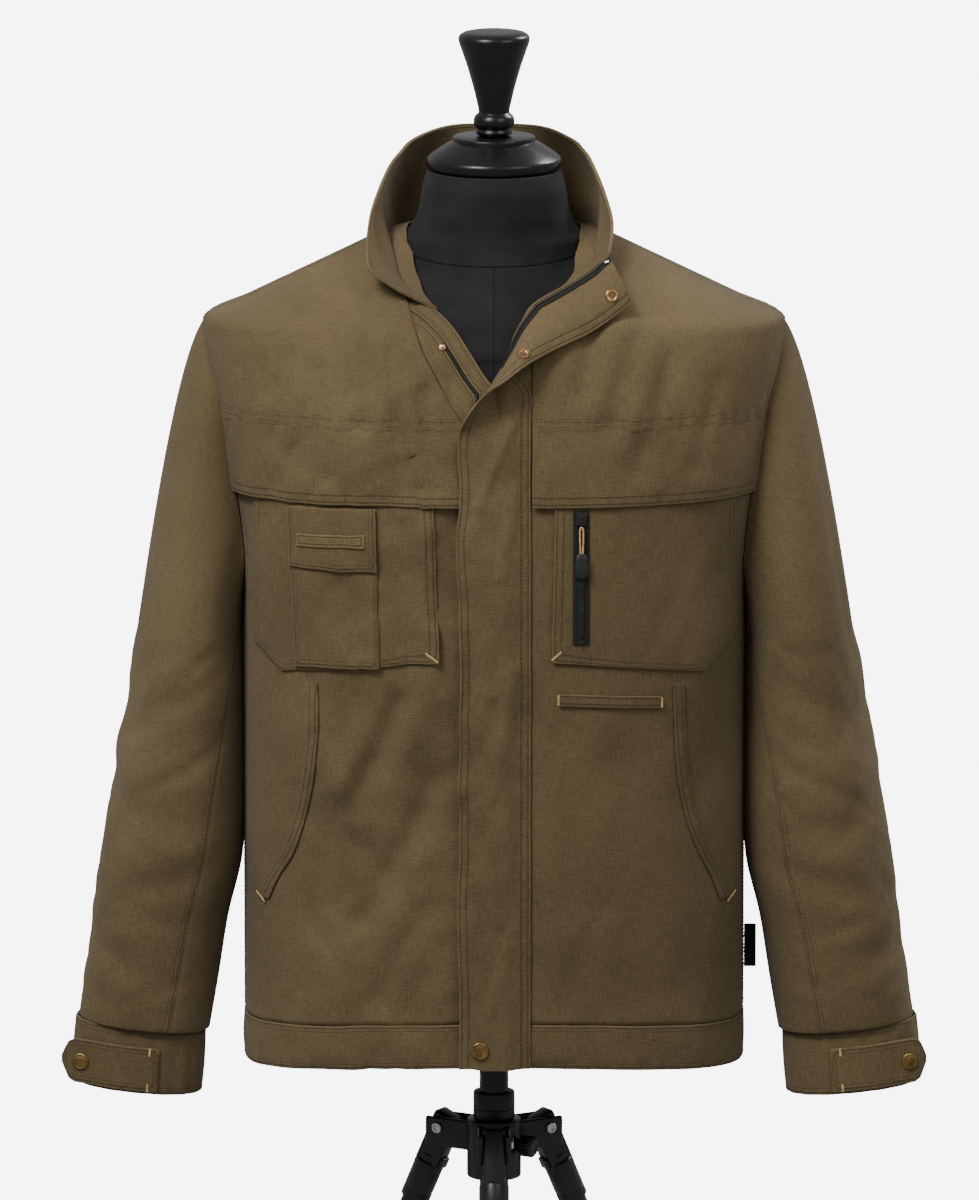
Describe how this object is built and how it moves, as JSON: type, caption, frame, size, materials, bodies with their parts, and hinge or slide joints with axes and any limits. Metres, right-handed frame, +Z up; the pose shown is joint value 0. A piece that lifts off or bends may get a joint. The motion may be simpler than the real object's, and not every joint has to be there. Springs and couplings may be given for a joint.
{
  "type": "work jacket on a dress form",
  "caption": "Zip-front cotton work jacket with storm flap, yokes and snap cuffs, worn by a limbless dress form on an adjustable tripod stand.",
  "frame": {"origin": "on the floor under the middle of the part's outline, 84 mm in front of the stand's axis", "axes": "+Z up, the jacket's front faces -Y, the wearer's left side is +X"},
  "size_m": [0.7462, 0.532, 1.597],
  "materials": {
    "canvas": "olive-brown cotton duck, matt, tone-on-tone stitching",
    "woven_patch": "bare woven patch, matt",
    "zip_black": "black woven tape and moulded teeth",
    "snap_brass": "antique brass, worn satin",
    "form_cloth": "black stretch cloth over a hard form, matt",
    "black_wood": "black lacquered turned wood",
    "black_metal": "black painted steel, satin",
    "steel": "bright zinc-plated screw head",
    "rubber": "black rubber, matt"
  },
  "bodies": {
    "hub": {"leg_hub": "black_metal", "column_collar": "black_metal", "leg_screw_front": "steel", "leg_screw_left": "steel", "leg_screw_right": "steel"},
    "column": {"column": "black_metal"},
    "knob": {"clamp_knob": "black_metal"},
    "zip_pull": {"pocket_zip_pull": "zip_black"},
    "front_leg": {"leg_front": "black_metal", "foot_front": "rubber"},
    "left_leg": {"leg_left": "black_metal", "foot_left": "rubber"},
    "right_leg": {"leg_right": "black_metal", "foot_right": "rubber"},
    "jacket_and_form": {"form_torso": "form_cloth", "neck_cap": "black_wood", "finial": "black_wood", "back": "canvas", "front_left": "canvas", "front_right": "canvas", "yoke_left": "canvas", "yoke_right": "canvas", "hem_band_back": "canvas", "hem_band_left": "canvas", "hem_band_right": "canvas", "collar": "canvas", "storm_flap": "canvas", "front_edge_right": "canvas", "zip_tape_left": "zip_black", "zip_tape_right": "zip_black", "front_zip_slider": "snap_brass", "chest_pocket_left": "canvas", "chest_pocket_right": "canvas", "patch_pocket": "canvas", "patch_pocket_flap": "canvas", "woven_patch": "woven_patch", "pocket_zip_tape": "zip_black", "pocket_zip_slider": "zip_black", "welt_pocket": "canvas", "hand_pocket_left": "canvas", "hand_pocket_right": "canvas", "side_tab": "zip_black", "sleeve_top_left": "canvas", "sleeve_top_right": "canvas", "sleeve_under_left": "canvas", "sleeve_under_right": "canvas", "cuff_left": "canvas", "cuff_right": "canvas", "cuff_tab_left": "canvas", "cuff_tab_right": "canvas", "cuff_snap_left": "snap_brass", "cuff_snap_right": "snap_brass", "hem_snap": "snap_brass", "socket_snap_upper": "snap_brass", "socket_snap_lower": "snap_brass", "collar_stud": "snap_brass"}
  },
  "joints": [
    {"name": "column_slide", "type": "slide", "parent": "hub", "child": "column", "axis": [0, 0, 1], "range_m": [-0.08, 0.25]},
    {"name": "form_turn", "type": "hinge", "parent": "column", "child": "jacket_and_form", "pos_m": [0, 0.084, 0.77], "axis": [0, 0, 1], "continuous": true},
    {"name": "knob_turn", "type": "hinge", "parent": "hub", "child": "knob", "pos_m": [0.02598, 0.069, 0.624], "axis": [0.866, -0.5, 0], "continuous": true},
    {"name": "zip_pull_swing", "type": "hinge", "parent": "jacket_and_form", "child": "zip_pull", "pos_m": [0.0741, -0.0575, 1.1927], "axis": [-1, 0, 0], "range_deg": [0, 60]},
    {"name": "front_leg_fold", "type": "hinge", "parent": "hub", "child": "front_leg", "pos_m": [0, 0.0355, 0.634], "axis": [1, 0, 0], "range_deg": [0, 24.4]},
    {"name": "left_leg_fold", "type": "hinge", "parent": "hub", "child": "left_leg", "pos_m": [0.042, 0.10825, 0.634], "axis": [-0.5, 0.866, 0], "range_deg": [0, 24.4]},
    {"name": "right_leg_fold", "type": "hinge", "parent": "hub", "child": "right_leg", "pos_m": [-0.042, 0.10825, 0.634], "axis": [-0.5, -0.866, 0], "range_deg": [0, 24.4]}
  ]
}
